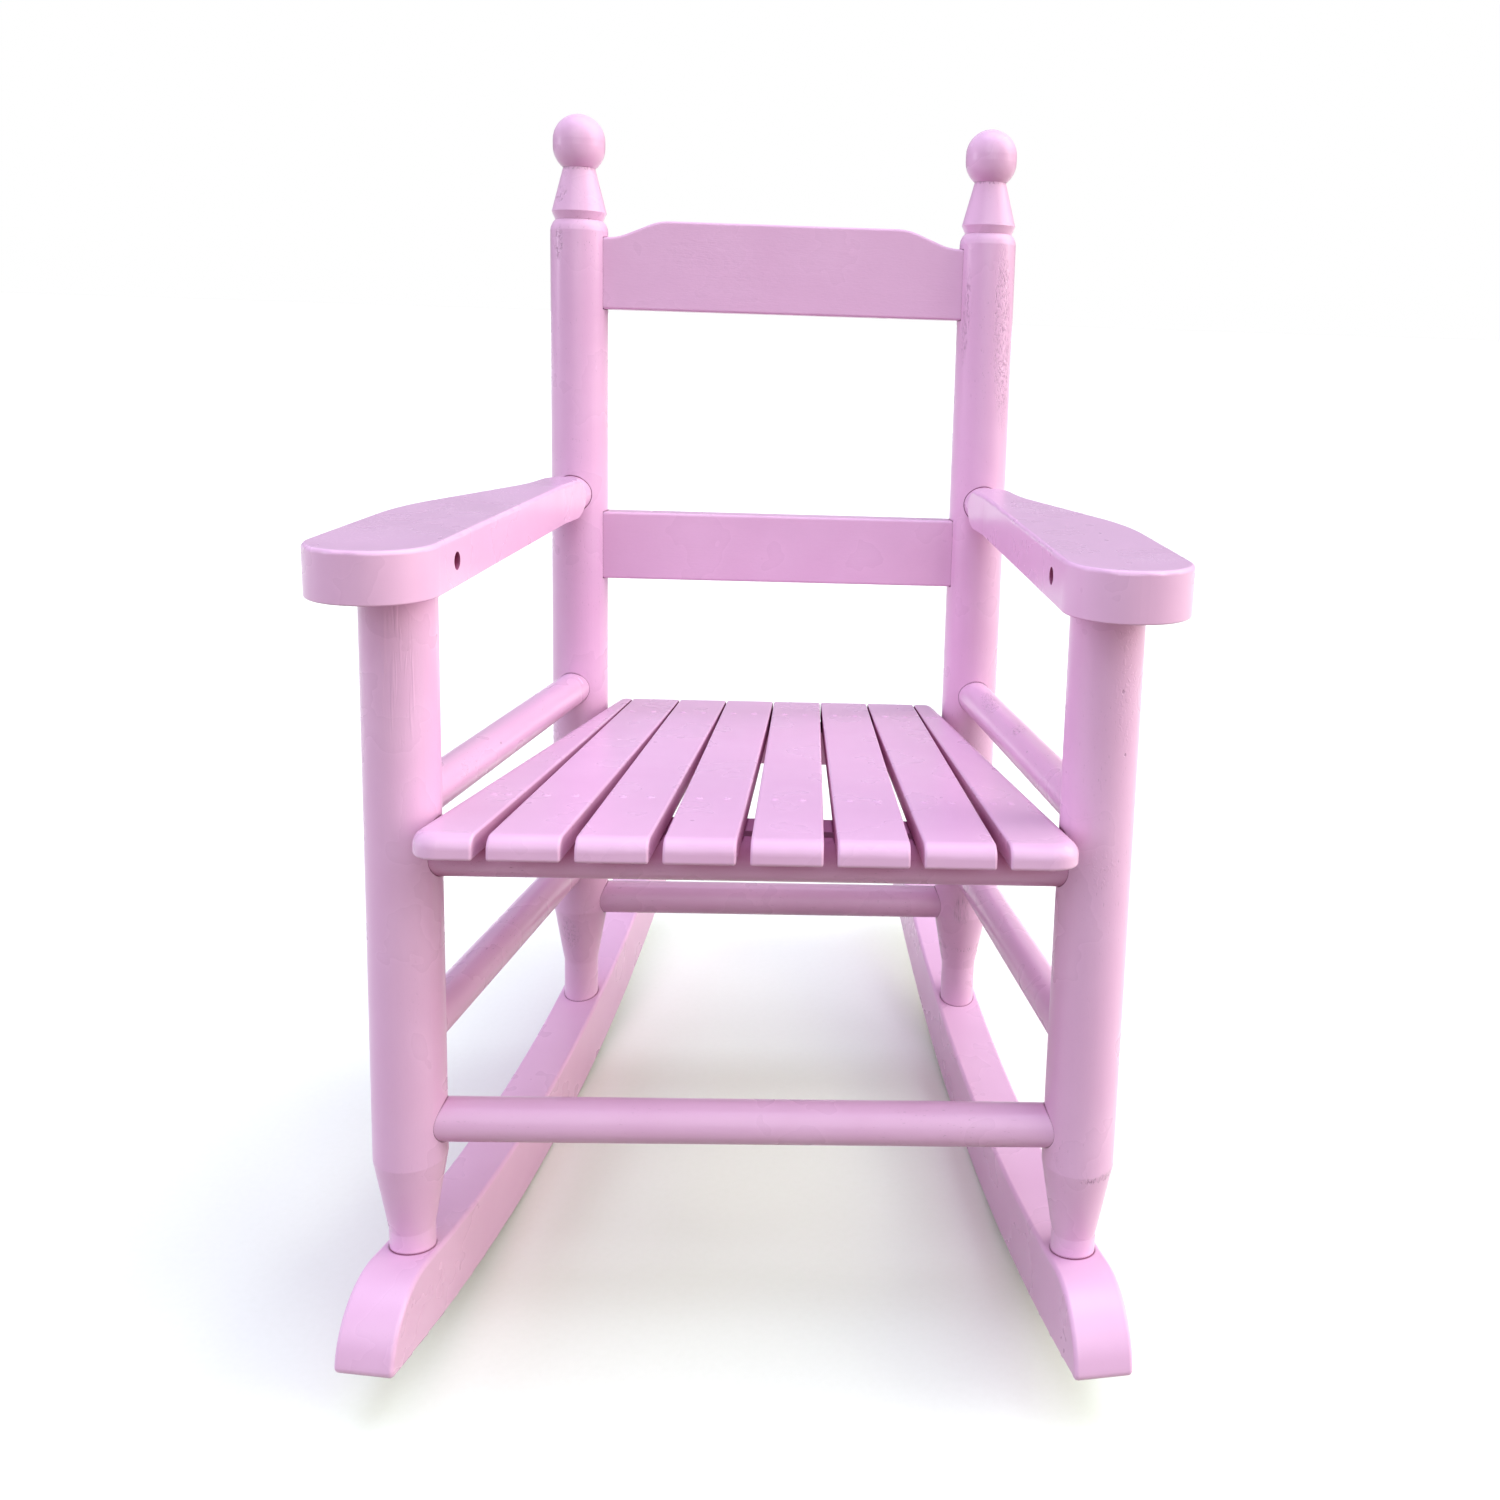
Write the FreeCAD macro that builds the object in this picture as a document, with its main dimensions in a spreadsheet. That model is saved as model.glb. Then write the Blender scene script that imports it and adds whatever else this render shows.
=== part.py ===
import FreeCAD, Part
import math
import os
import re
import Sketcher

# A child's rocking chair of painted wood, in millimetres.
# Every piece is drawn in the chair's own frame, in which the posts stand upright: X goes to the
# right as seen from the front, Y to the back and Z up, with the front posts at Y = 0 and the
# rockers' top at Z = 0 below them. At the end the whole chair is leaned back to its balance.

Vector = FreeCAD.Vector
Rotation = FreeCAD.Rotation
Placement = FreeCAD.Placement
UP = Vector(0, 0, 1)
SIDES = {"left": -1, "right": 1}

SIZES = {
    # posts and where they stand
    "post_dia": 32.0,
    "front_half": 148.5,
    "back_half": 115.7,
    "leg_depth": 235.0,
    "post_height": 463.5,
    # turned feet
    "foot_dia": 20.0,
    "foot_taper": 34.0,
    "foot_depth": 22.0,
    "front_taper_drop": 7.0,
    "rear_taper_drop": 5.5,
    # finials, from the shoulder up
    "shoulder_rise": 6.0,
    "groove_dia": 26.5,
    "bead_rise": 4.5,
    "bead_dia": 30.4,
    "neck_rise": 24.0,
    "neck_dia": 17.8,
    "ball_dia": 28.8,
    "ball_straight": 3.6,
    # dowels and their sockets
    "rung_dia": 19.0,
    "rung_end_gap": 1.5,
    "joint_clear": 0.15,
    "front_stretcher_z": 60.7,
    "rear_stretcher_rise": 9.0,
    "lower_side_rise": 26.3,
    "seat_rung_z": 183.1,
    "upper_side_gap": 0.2,
    # back rails
    "rail_thick": 14.0,
    "rail_edge": 1.5,
    "lower_rail_height": 38.9,
    "lower_rail_gap": 0.1,
    "crest_height": 49.6,
    "crest_drop": 9.9,
    "crest_flat": 140.0,
    "crest_gap": 3.0,
    "crest_step": 6.0,
    "crest_knee": 30.0,
    # arms
    "arm_z": 299.8,
    "arm_thick": 21.5,
    "arm_pitch": 1.45,
    "arm_front": 48.0,
    "arm_inner": 30.0,
    "arm_outer": 24.0,
    "arm_bulge": 35.3,
    "arm_bulge_back": 75.0,
    "arm_neck_width": 22.0,
    "arm_neck_run": 60.0,
    "arm_shoulder_run": 7.0,
    "arm_round_run": 20.0,
    "arm_round_radius": 45.0,
    "arm_corner_inner": 24.0,
    "arm_corner_outer": 27.0,
    "arm_bulge_radius": 150.0,
    "arm_neck_radius": 100.0,
    "arm_top_edge": 2.0,
    "arm_under_edge": 0.8,
    "arm_tenon_dia": 18.0,
    "arm_tenon_length": 14.0,
    "arm_hole_dia": 7.6,
    "arm_hole_wall": 4.0,
    # rockers
    "rocker_radius": 740.0,
    "rocker_height": 35.0,
    "rocker_thick": 26.0,
    "rocker_low": 95.0,
    "rocker_front": 50.0,
    "rocker_back": 180.0,
    "rocker_nose": 32.0,
    "rocker_toe": 3.0,
    "rocker_edge": 2.0,
    # seat
    "seat_slope": 2.7,
    "seat_front": 40.0,
    "seat_back": 7.0,
    "seat_clear_front": 0.4,
    "seat_clear_back": 2.5,
    "slat_thick": 10.3,
    "slat_gap_front": 5.6,
    "slat_gap_back": 0.5,
    "slat_shift": 1.6,
    "slat_edge": 1.2,
    "slat_nose": 6.0,
    "slat_lip": 1.5,
    "slat_corner": 12.0,
    "outer_slat_back": 11.3,
    "batten_size": 19.0,
    "batten_inset": 10.0,
    "batten_gap": 0.3,
    # fasteners
    "screw_dia": 4.0,
    "screw_head_dia": 7.0,
    "screw_head_height": 3.0,
    "screw_grip": 22.0,
    "screw_web": 6.0,
    "screw_bore_dia": 9.0,
    "seat_screw_inset": 45.0,
    "seat_screw_reach": 12.0,
}

SLATS = 8
STEEL_TO_WOOD = 12.0

doc = FreeCAD.newDocument("rocking_chair")
sheet = doc.addObject("Spreadsheet::Sheet", "Size")
for row, (alias, number) in enumerate(SIZES.items(), 1):
    sheet.set("A%d" % row, alias)
    sheet.set("B%d" % row, str(number))
    sheet.setAlias("B%d" % row, alias)
doc.recompute()

ALIAS = re.compile(r"\b(%s)\b" % "|".join(SIZES))
pieces = []
steel = []


def bind(text):
    """An expression on the sheet's cells, from one written with bare names."""
    return ALIAS.sub(r"Size.\1", text)


def value(text):
    result = sheet.evalExpression(bind(text))
    return float(getattr(result, "Value", result))


def signed(side, text):
    return text if side > 0 else "-(%s)" % text


# Lines and levels that several pieces share
TOE = "atan((front_half - back_half) / leg_depth)"
LEG_LINE = "sqrt((front_half - back_half)^2 + leg_depth^2)"
REAR_STRETCHER = "(front_stretcher_z + rear_stretcher_rise)"
LOWER_SIDE = "(%s + lower_side_rise)" % REAR_STRETCHER
UPPER_SIDE = "(seat_rung_z + rung_dia + upper_side_gap)"
REAR_SEAT = "(seat_rung_z - leg_depth * tan(seat_slope))"
ARM_LINE = "((%s + arm_thick / 2 * sin(arm_pitch)) / cos(arm_pitch))" % LEG_LINE
ARM_BACK = "(arm_z + %s * tan(arm_pitch) + arm_thick / 2 / cos(arm_pitch))" % LEG_LINE
LOWER_RAIL_TOP = "(%s - arm_thick / 2 - lower_rail_gap)" % ARM_BACK
CREST_END = "(crest_height - crest_drop)"
CREST_BOTTOM = "(post_height - crest_gap - %s)" % CREST_END
ROCKER_CENTRE = "sqrt((rocker_radius - rocker_height)^2 - rocker_low^2)"
ROCKER_END = "(%s + rocker_back)" % LEG_LINE


def rocker_level(radius, along):
    """Height of a rocker's arc of the given radius, at a distance along the leg line."""
    return "(%s - sqrt((%s)^2 - (%s - rocker_low)^2))" % (ROCKER_CENTRE, radius, along)


def rocker_corner(radius, end):
    """Where an arc of the given radius ends, on the cut square to the lower arc's end."""
    across = "(rocker_low + (%s - rocker_low) * %s / rocker_radius)" % (end, radius)
    level = "(%s - sqrt(rocker_radius^2 - (%s - rocker_low)^2) * %s / rocker_radius)" % (
        ROCKER_CENTRE, end, radius)
    return across, level


REAR_FOOT_TOP = rocker_level("rocker_radius - rocker_height", LEG_LINE)
FOOT_END = {"front": "(-foot_depth)", "back": "(%s - foot_depth)" % REAR_FOOT_TOP}

# The seat plane touches the tops of both seat rungs. Its X, Y and Z run across, back and up.
SEAT_LINE = "(leg_depth / cos(seat_slope))"
SEAT_END = "(%s + seat_back)" % SEAT_LINE
SEAT_LENGTH = "(%s + seat_front)" % SEAT_END
EDGE_AT_FRONT_POST = "(front_half - post_dia / 2 - seat_clear_front)"
EDGE_AT_BACK_POST = "(back_half - post_dia / 2 - seat_clear_back)"
EDGE_RATE = "((%s - %s) / %s)" % (EDGE_AT_FRONT_POST, EDGE_AT_BACK_POST, SEAT_LINE)


def seat_edge(along):
    """Half the seat's width at a distance behind the front rung."""
    return "(%s - (%s) * %s)" % (EDGE_AT_FRONT_POST, along, EDGE_RATE)


# The slats share the front edge and narrow to the back. The outer ones narrow more, to pass the posts,
# and the gaps lie a little to the left of the middle.
GAPS = SLATS - 1
WIDTH_IN_FRONT = "((2 * %s - %d * slat_gap_front) / %d)" % (seat_edge("-seat_front"), GAPS, SLATS)
WIDTH_AT_BACK = "((2 * %s - 2 * outer_slat_back - %d * slat_gap_back) / %d)" % (
    seat_edge(SEAT_END), GAPS, SLATS - 2)
FRONT_BATTEN = "(rung_dia / 2 + batten_gap + batten_size / 2)"
REAR_BATTEN = "(%s - %s)" % (SEAT_LINE, FRONT_BATTEN)


def slat_ends(slat):
    """The left and right corners of a slat, in front and at the back."""
    ends = []
    for along, width, gap in (("-seat_front", WIDTH_IN_FRONT, "slat_gap_front"),
                              (SEAT_END, WIDTH_AT_BACK, "slat_gap_back")):
        middle = "%s * (%s + %s) - slat_shift" % (slat - (SLATS + 1) / 2, width, gap)
        left = "(%s - %s / 2)" % (middle, width)
        right = "(%s + %s / 2)" % (middle, width)
        if slat == 1:
            left = "(-%s)" % seat_edge(along)
        if slat == SLATS:
            right = seat_edge(along)
        ends.append((left, right))
    return ends


def new_body(label):
    body = doc.addObject("PartDesign::Body", label)
    body.Label = label
    return body


def new_sketch(body, role, lift="0", turn=None, axis=Vector(0, 1, 0), shift="0"):
    """A sketch on one of the body's origin planes, moved off it, then turned about its own axis."""
    sketch = body.newObject("Sketcher::SketchObject", body.Label + "_sketch")
    plane = next(feature for feature in body.Origin.OriginFeatures if feature.Role == role)
    sketch.AttachmentSupport = [(plane, "")]
    sketch.MapMode = "FlatFace"
    if turn:
        sketch.AttachmentOffset = Placement(Vector(), Rotation(axis, value(turn)))
        sketch.setExpression("AttachmentOffset.Rotation.Angle", bind(turn))
    for letter, text in (("y", shift), ("z", lift)):
        if text != "0":
            sketch.setExpression("AttachmentOffset.Base." + letter, bind(text))
    return sketch


def hold(sketch, kind, text, *where):
    """A constraint whose value follows an expression."""
    index = sketch.addConstraint(Sketcher.Constraint(kind, *where, value(text)))
    sketch.setExpression("Constraints[%d]" % index, bind(text))


def pin(sketch, edge, point, across, along):
    """Hold a point of a sketch at two distances from its origin."""
    for kind, text, axis in (("DistanceX", across, -2), ("DistanceY", along, -1)):
        if text == "0":
            sketch.addConstraint(Sketcher.Constraint("PointOnObject", edge, point, axis))
        else:
            hold(sketch, kind, text, -1, 1, edge, point)


def circle(sketch, across, along, radius):
    centre = Vector(value(across), value(along), 0)
    edge = sketch.addGeometry(Part.Circle(centre, UP, value(radius)))
    pin(sketch, edge, 3, across, along)
    hold(sketch, "Radius", radius, edge)


def outline(sketch, corners, arcs=None):
    """A closed loop through corners. arcs maps a corner's number to the radius of the arc that
    leaves it, and to 1 where the arc's centre lies to the left of the way round, or -1."""
    arcs = arcs or {}
    points = [Vector(value(across), value(along), 0) for across, along in corners]
    ends = []
    for number, start in enumerate(points):
        finish = points[(number + 1) % len(points)]
        if number in arcs:
            radius, turn = arcs[number]
            chord = finish - start
            left = Vector(-chord.y, chord.x, 0).normalize() * turn
            reach = math.sqrt(value(radius) ** 2 - (chord.Length / 2) ** 2)
            crown = (start + finish) / 2 + left * (reach - value(radius))
            edge = sketch.addGeometry(Part.Arc(start, crown, finish))
            hold(sketch, "Radius", radius, edge)
            ends.append((edge, 1, 2) if turn > 0 else (edge, 2, 1))
        else:
            edge = sketch.addGeometry(Part.LineSegment(start, finish))
            ends.append((edge, 1, 2))
    for number, (edge, first, last) in enumerate(ends):
        following, start, _ = ends[(number + 1) % len(ends)]
        sketch.addConstraint(Sketcher.Constraint("Coincident", edge, last, following, start))
        pin(sketch, edge, first, *corners[number])


def feature(body, kind, sketch, length=None, back=False, both=False):
    """A pad or pocket of a sketch, or a revolution or groove about its vertical axis."""
    made = body.newObject("PartDesign::" + kind, "%s_%s" % (body.Label, kind.lower()))
    made.Profile = sketch
    if length is None:
        made.ReferenceAxis = (sketch, ["V_Axis"])
        made.Angle = 360
    else:
        made.setExpression("Length", bind(length))
        made.Reversed = back
        if both:
            made.SideType = "Symmetric"
    return made


def pocket(body, sketch, length, back=False):
    """A pocket that has to take something away."""
    doc.recompute()
    before = body.Shape.Volume
    made = feature(body, "Pocket", sketch, length, back)
    doc.recompute()
    if body.Shape.Volume > before - 1e-3:
        raise RuntimeError("%s cuts nothing from %s" % (made.Name, body.Label))


def round_edges(body, radius, chosen):
    """Round the edges of the body as it stands that a test picks."""
    doc.recompute()
    base = body.Tip
    names = ["Edge%d" % (n + 1) for n, edge in enumerate(base.Shape.Edges) if chosen(edge)]
    made = body.newObject("PartDesign::Fillet", body.Label + "_round")
    made.Base = (base, names)
    made.setExpression("Radius", bind(radius))


def near(edge, letter, place):
    """Whether every end of an edge lies at a place along one axis."""
    return all(abs(getattr(vertex.Point, letter) - place) < 1e-4 for vertex in edge.Vertexes)


def over(edge, line):
    """Whether every end of an edge lies straight above a level line."""
    feet = [Vector(vertex.X, vertex.Y, 0) for vertex in edge.Vertexes]
    return all(line.projectPoint(foot, "LowerDistance") < 1e-4 for foot in feet)


def upright_at(places):
    """A test for upright edges that stand at given places in plan."""
    def chosen(edge):
        return any(near(edge, "x", across) and near(edge, "y", along) for across, along in places)
    return chosen


def place(part, x="0", y="0", z="0", turn=Rotation()):
    """Note where a finished piece belongs in the chair's frame."""
    pieces.append((part, Placement(Vector(value(x), value(y), value(z)), turn)))


def leg_turn(side):
    return Rotation(UP, side * value(TOE))


def place_on_leg_line(part, side, z="0"):
    place(part, signed(side, "front_half"), "0", z, leg_turn(side))


def seat_turn():
    return Rotation(Vector(1, 0, 0), -value("seat_slope"))


def place_on_seat(part):
    place(part, "0", "rung_dia / 2 * sin(seat_slope)",
          "seat_rung_z + rung_dia / 2 * cos(seat_slope)", seat_turn())


def inward(body, side, shift="0"):
    """A sketch through a post's axis that faces the other side of the chair."""
    return new_sketch(body, "XZ_Plane", "0", "90 deg - %s" % TOE, Vector(0, side, 0), shift)


def rung_sockets(body, side, across, along, back):
    """Round sockets to the post's axis, for rungs across the chair and along its side."""
    radius = "rung_dia / 2 + joint_clear"
    for level in across:
        sketch = inward(body, side)
        circle(sketch, "0", level, radius)
        pocket(body, sketch, "post_dia")
    for level in along:
        sketch = new_sketch(body, "XZ_Plane")
        circle(sketch, "0", level, radius)
        pocket(body, sketch, "post_dia", back)


def foot_screw_hole(body, end):
    sketch = new_sketch(body, "XY_Plane", end)
    circle(sketch, "0", "0", "screw_dia / 2 + joint_clear")
    pocket(body, sketch, "screw_grip + 1", True)


def foot_profile(end, taper_top):
    return [("0", end), ("foot_dia / 2", end), ("foot_dia / 2", "%s - foot_taper" % taper_top),
            ("post_dia / 2", taper_top)]


def front_post(name, side):
    """Turned post, cut off at the arm's pitch, with a tenon square to the arm."""
    body = new_body("front_post_" + name)
    top = "arm_z + post_dia * tan(arm_pitch)"
    profile = new_sketch(body, "XZ_Plane")
    corners = foot_profile(FOOT_END["front"], "(front_stretcher_z - rung_dia / 2 - front_taper_drop)")
    outline(profile, corners + [("post_dia / 2", top), ("0", top)])
    feature(body, "Revolution", profile)
    under_arm = dict(lift="arm_z", turn="arm_pitch", axis=Vector(1, 0, 0))
    cut = new_sketch(body, "XY_Plane", **under_arm)
    circle(cut, "0", "0", "post_dia")
    pocket(body, cut, "post_dia", True)
    tenon = new_sketch(body, "XY_Plane", **under_arm)
    circle(tenon, "0", "0", "arm_tenon_dia / 2")
    feature(body, "Pad", tenon, "arm_tenon_length")
    rung_sockets(body, side, ("front_stretcher_z", "seat_rung_z"), (LOWER_SIDE, UPPER_SIDE), False)
    cross = new_sketch(body, "YZ_Plane", signed(side, "(-arm_inner)"))
    circle(cross, "-arm_thick / 2 * sin(arm_pitch)", "arm_z + arm_thick / 2 * cos(arm_pitch)",
           "screw_dia / 2 + joint_clear")
    pocket(body, cross, "2 * arm_inner", side > 0)
    foot_screw_hole(body, FOOT_END["front"])
    place_on_leg_line(body, side)


def back_post(name, side):
    """Turned post with a finial: rounded shoulder, groove, bead, flared neck and ball."""
    body = new_body("back_post_" + name)
    groove = "(post_height + shoulder_rise)"
    bead = "(%s + bead_rise)" % groove
    neck = "(%s + neck_rise)" % bead
    ball_low = "(%s + sqrt(ball_dia^2 - neck_dia^2) / 2)" % neck
    ball_high = "(%s + ball_straight)" % ball_low
    shoulder = "(post_dia - groove_dia)"
    shoulder_arc = "(shoulder_rise^2 / %s + %s / 4)" % (shoulder, shoulder)
    corners = foot_profile(FOOT_END["back"], "(%s - rear_taper_drop)" % REAR_STRETCHER)
    first = len(corners)
    corners += [("post_dia / 2", "post_height"), ("groove_dia / 2", groove), ("bead_dia / 2", bead),
                ("neck_dia / 2", neck), ("ball_dia / 2", ball_low), ("ball_dia / 2", ball_high),
                ("0", "%s + ball_dia / 2" % ball_high)]
    arcs = {first: (shoulder_arc, 1), first + 3: ("ball_dia / 2", 1), first + 5: ("ball_dia / 2", 1)}
    profile = new_sketch(body, "XZ_Plane")
    outline(profile, corners, arcs)
    feature(body, "Revolution", profile)
    rung_sockets(body, side, (REAR_STRETCHER, REAR_SEAT), (LOWER_SIDE, UPPER_SIDE), True)
    half = "(rail_thick / 2 + joint_clear)"
    rails = ((CREST_BOTTOM, "(%s + %s)" % (CREST_BOTTOM, CREST_END)),
             ("(%s - lower_rail_height)" % LOWER_RAIL_TOP, LOWER_RAIL_TOP))
    for low, high in rails:
        mortise = inward(body, side)
        low = "%s - joint_clear" % low
        high = "%s + joint_clear" % high
        outline(mortise, [("-%s" % half, low), (half, low), (half, high), ("-%s" % half, high)])
        pocket(body, mortise, "post_dia")
    socket = new_sketch(body, "XZ_Plane", "0", "arm_pitch", Vector(1, 0, 0), ARM_BACK)
    circle(socket, "0", "0", "arm_thick / 2 + joint_clear")
    pocket(body, socket, "post_dia", True)
    foot_screw_hole(body, FOOT_END["back"])
    place(body, signed(side, "back_half"), "leg_depth", "0", leg_turn(side))


def rung(label, length, holes=(), back=False):
    """A dowel along its own X, with holes for the seat screws where it carries the seat."""
    body = new_body(label)
    section = new_sketch(body, "YZ_Plane")
    circle(section, "0", "0", "rung_dia / 2")
    feature(body, "Pad", section, length, both=True)
    for across in holes:
        start = "seat_screw_reach + 1 - rung_dia / 2"
        hole = new_sketch(body, "XZ_Plane", start if not back else "-(%s)" % start)
        circle(hole, across, "0", "screw_dia / 2 + joint_clear")
        pocket(body, hole, "rung_dia", back)
    return body


def rungs():
    front_length = "2 * (front_half - rung_end_gap)"
    back_length = "2 * (back_half - rung_end_gap)"
    place(rung("front_stretcher", front_length), z="front_stretcher_z")
    place(rung("rear_stretcher", back_length), y="leg_depth", z=REAR_STRETCHER)
    holes = {end: seat_screw_places(along) for end, along in SEAT_BATTENS.items()}
    place(rung("front_seat_rung", front_length, holes["front"]), z="seat_rung_z", turn=seat_turn())
    rear = rung("rear_seat_rung", back_length, holes["rear"], True)
    place(rear, y="leg_depth", z=REAR_SEAT, turn=seat_turn())
    for name, side in SIDES.items():
        middle = dict(x=signed(side, "(front_half + back_half) / 2"), y="leg_depth / 2")
        turn = Rotation(UP, 90 + side * value(TOE))
        for level, height in (("upper", UPPER_SIDE), ("lower", LOWER_SIDE)):
            dowel = rung("%s_side_rung_%s" % (level, name), "%s - 2 * rung_end_gap" % LEG_LINE)
            place(dowel, z=height, turn=turn, **middle)


def back_rails():
    """The straight lower rail, and the crest with sloped shoulders up to its raised middle."""
    half = "(back_half - rung_end_gap)"
    step = "(back_half - post_dia / 2 - crest_step)"
    flat = "min(crest_flat / 2; %s - crest_drop)" % step
    run = "(%s - %s)" % (step, flat)
    slope = "sqrt(%s^2 + crest_drop^2)" % run
    knee = "min(crest_knee; 0.4 * %s * crest_drop / (%s - %s))" % (slope, slope, run)
    shapes = {
        "lower_back_rail": [(half, "0"), (half, "lower_rail_height")],
        "crest_rail": [(half, "0"), (half, CREST_END), (step, CREST_END), (flat, "crest_height")],
    }
    bottoms = {"lower_back_rail": "%s - lower_rail_height" % LOWER_RAIL_TOP, "crest_rail": CREST_BOTTOM}
    for label, right in shapes.items():
        body = new_body(label)
        face = new_sketch(body, "XZ_Plane")
        outline(face, right + [("-%s" % across, level) for across, level in reversed(right)])
        feature(body, "Pad", face, "rail_thick", both=True)
        knees = [(value(across), value(level)) for across, level in right[2:]]
        if knees:
            round_edges(body, knee, lambda edge: any(
                near(edge, "z", level) and (near(edge, "x", across) or near(edge, "x", -across))
                for across, level in knees))
        end = value(half)
        thick = value("rail_thick")
        round_edges(body, "rail_edge", lambda edge: (
            (near(edge, "y", thick / 2) or near(edge, "y", -thick / 2))
            and not near(edge, "x", end) and not near(edge, "x", -end)))
        place(body, y="leg_depth", z=bottoms[label])


def arm(name, side):
    """Shaped board: wide rounded front, bulged outer edge, and a neck turned round for the post."""
    body = new_body("arm_" + name)
    neck = "(arm_neck_width / 2)"
    neck_start = "(%s - arm_neck_run)" % ARM_LINE
    shoulder = "(%s - post_dia / 2 - arm_shoulder_run)" % ARM_LINE
    corners = {
        "front_inner": ("(-arm_inner)", "(-arm_front)"),
        "front_outer": ("arm_outer", "(-arm_front)"),
        "bulge": ("arm_bulge", "arm_bulge_back"),
        "neck_outer": (neck, neck_start),
        "end_outer": (neck, shoulder),
        "end_inner": ("(-%s)" % neck, shoulder),
        "neck_inner": ("(-%s)" % neck, neck_start),
    }
    plan = new_sketch(body, "XY_Plane")
    outline(plan, [(signed(side, across), along) for across, along in corners.values()])
    feature(body, "Pad", plan, "arm_thick")

    def corner(label):
        across, along = corners[label]
        return side * value(across), value(along)

    wide = "(arm_inner + arm_outer)"
    round_edges(body, "min(arm_corner_inner; 0.44 * %s)" % wide, upright_at([corner("front_inner")]))
    round_edges(body, "min(arm_corner_outer; 0.5 * %s)" % wide, upright_at([corner("front_outer")]))
    round_edges(body, "arm_bulge_radius", upright_at([corner("bulge")]))
    round_edges(body, "arm_neck_radius", upright_at([corner("neck_outer"), corner("neck_inner")]))
    end = value(shoulder)
    thick = value("arm_thick")
    for radius, level in (("arm_top_edge", thick), ("arm_under_edge", 0.0)):
        round_edges(body, radius, lambda edge: near(edge, "z", level) and not near(edge, "y", end))
    turned = new_sketch(body, "YZ_Plane", shift="arm_thick / 2")
    tip = "(%s + 1)" % shoulder
    corner_radius = "sqrt((arm_thick / 2)^2 + (arm_neck_width / 2)^2)"
    outline(turned, [("%s - arm_round_run" % tip, corner_radius), (tip, "arm_thick / 2"),
                     (tip, corner_radius)], {0: ("arm_round_radius", -1)})
    groove = feature(body, "Groove", turned)
    groove.ReferenceAxis = (turned, ["H_Axis"])
    tenon = new_sketch(body, "XZ_Plane", "-(%s - arm_round_run)" % shoulder)
    circle(tenon, "0", "arm_thick / 2", "arm_thick / 2 - joint_clear")
    feature(body, "Pad", tenon, "%s - rung_end_gap - %s + arm_round_run" % (ARM_LINE, shoulder), True)
    mortise = new_sketch(body, "XY_Plane")
    circle(mortise, "0", "0", "arm_tenon_dia / 2 + joint_clear")
    pocket(body, mortise, "arm_tenon_length + 1", True)
    head_seat = signed(side, "(-(arm_tenon_dia / 2 + arm_hole_wall))")
    bore = new_sketch(body, "YZ_Plane", head_seat)
    circle(bore, "0", "arm_thick / 2", "arm_hole_dia / 2")
    pocket(body, bore, "arm_inner", side < 0)
    shank = new_sketch(body, "YZ_Plane", head_seat)
    circle(shank, "0", "arm_thick / 2", "screw_dia / 2 + joint_clear")
    pocket(body, shank, "screw_grip + arm_hole_wall + 1", side > 0)
    turn = leg_turn(side).multiply(Rotation(Vector(1, 0, 0), value("arm_pitch")))
    place(body, signed(side, "front_half"), "0", "arm_z", turn)


def rocker(name, side):
    """Curved board of even height, its ends rounded down to a low nose."""
    body = new_body("rocker_" + name)
    front = "(-rocker_front)"
    inner = "(rocker_radius - rocker_height)"
    face = new_sketch(body, "YZ_Plane")
    corners = [rocker_corner("rocker_radius", front), rocker_corner("rocker_radius", ROCKER_END),
               rocker_corner(inner, ROCKER_END), rocker_corner(inner, front)]
    outline(face, corners, {0: ("rocker_radius", 1), 2: (inner, -1)})
    feature(body, "Pad", face, "rocker_thick", both=True)
    places = [(value(along), value(level)) for along, level in corners]
    nose = "min(rocker_nose; 0.9 * rocker_height)"
    for radius, ends in ((nose, places[2:]), ("rocker_toe", places[:2])):
        round_edges(body, radius, lambda edge: any(
            near(edge, "y", along) and near(edge, "z", level) for along, level in ends))
    half = value("rocker_thick / 2")
    round_edges(body, "rocker_edge", lambda edge: near(edge, "x", half) or near(edge, "x", -half))
    for along, end in (("0", FOOT_END["front"]), (LEG_LINE, FOOT_END["back"])):
        hole_end = "(%s - joint_clear)" % end
        socket = new_sketch(body, "XY_Plane", hole_end)
        circle(socket, "0", along, "foot_dia / 2 + joint_clear")
        pocket(body, socket, "2 * foot_depth", True)
        head_seat = "(%s - screw_web)" % hole_end
        shank = new_sketch(body, "XY_Plane", head_seat)
        circle(shank, "0", along, "screw_dia / 2 + joint_clear")
        pocket(body, shank, "screw_web + 1", True)
        bore = new_sketch(body, "XY_Plane", head_seat)
        circle(bore, "0", along, "screw_bore_dia / 2")
        pocket(body, bore, "rocker_height")
    place_on_leg_line(body, side)


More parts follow.
